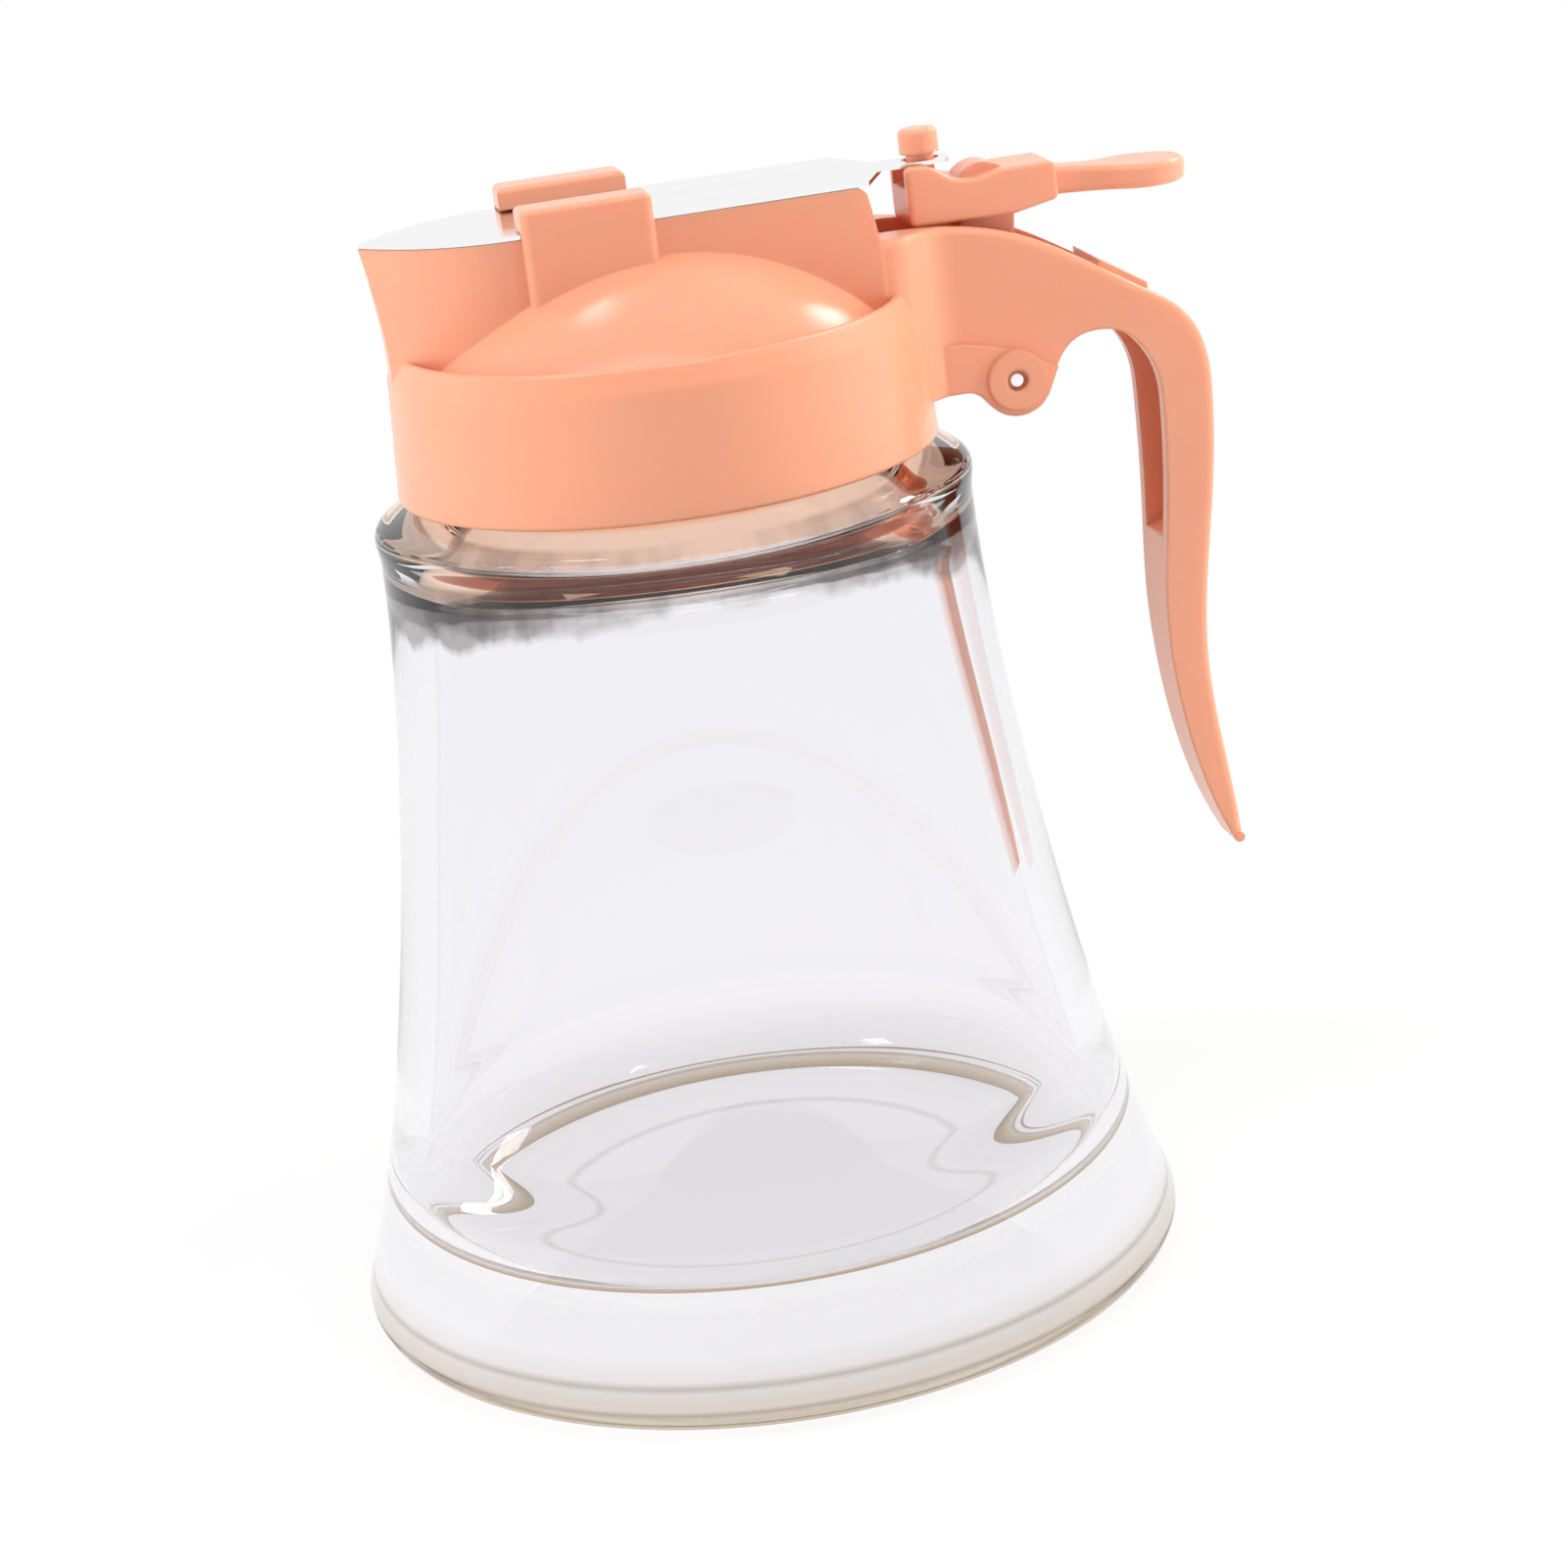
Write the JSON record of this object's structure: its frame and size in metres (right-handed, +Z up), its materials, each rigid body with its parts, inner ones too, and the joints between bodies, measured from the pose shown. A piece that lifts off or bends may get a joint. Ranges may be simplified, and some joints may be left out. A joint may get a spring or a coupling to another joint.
{
  "type": "honey dispenser",
  "caption": "Flared clear glass jar with a screw-on peach plastic lid, a beaked spout closed by a sliding steel blade, a finger handle and a sprung thumb lever.",
  "frame": {"origin": "the jar's axis at the plane that the jar stands on", "axes": "+Z up along the jar's axis, +X toward the handle, spout toward -X"},
  "size_m": [0.0952, 0.083, 0.1114],
  "materials": {
    "clear_glass": "clear polished glass",
    "silicone": "matte translucent silicone",
    "peach_plastic": "semi-gloss moulded plastic",
    "steel": "polished stainless steel"
  },
  "bodies": {
    "jar": {"glass_jar": "clear_glass"},
    "gasket": {"mouth_gasket": "silicone"},
    "lid": {"lid_body": "peach_plastic", "pivot_pin": "steel", "return_spring": "steel"},
    "lever": {"thumb_lever": "peach_plastic", "blade_peg": "peach_plastic"},
    "blade": {"cutter_blade": "steel"}
  },
  "joints": [
    {"name": "lid_rise", "type": "slide", "parent": "jar", "child": "gasket", "axis": [0, 0, 1], "range_m": [0, 0.0125], "stiffness_N_per_m": 0.01, "springref_m": 17.275},
    {"name": "lid_turn", "type": "hinge", "parent": "gasket", "child": "lid", "pos_m": [0, 0, 0], "axis": [0, 0, 1], "range_deg": [0, 1080]},
    {"name": "lever_press", "type": "hinge", "parent": "lid", "child": "lever", "pos_m": [0.0337, 0, 0.0869], "axis": [0, 1, 0], "range_deg": [0, 25], "stiffness_Nm_per_rad": 0.02, "springref_deg": -17.19, "deforming": ["return_spring"]},
    {"name": "blade_slide", "type": "slide", "parent": "lid", "child": "blade", "axis": [1, 0, 0], "range_m": [0, 0.0095]}
  ],
  "couplings": [
    {"joint": "lid_rise", "follows": "lid_turn", "m_per_rad": 0.00063662},
    {"joint": "blade_slide", "follows": "lever_press", "m_per_rad": 0.02144}
  ]
}
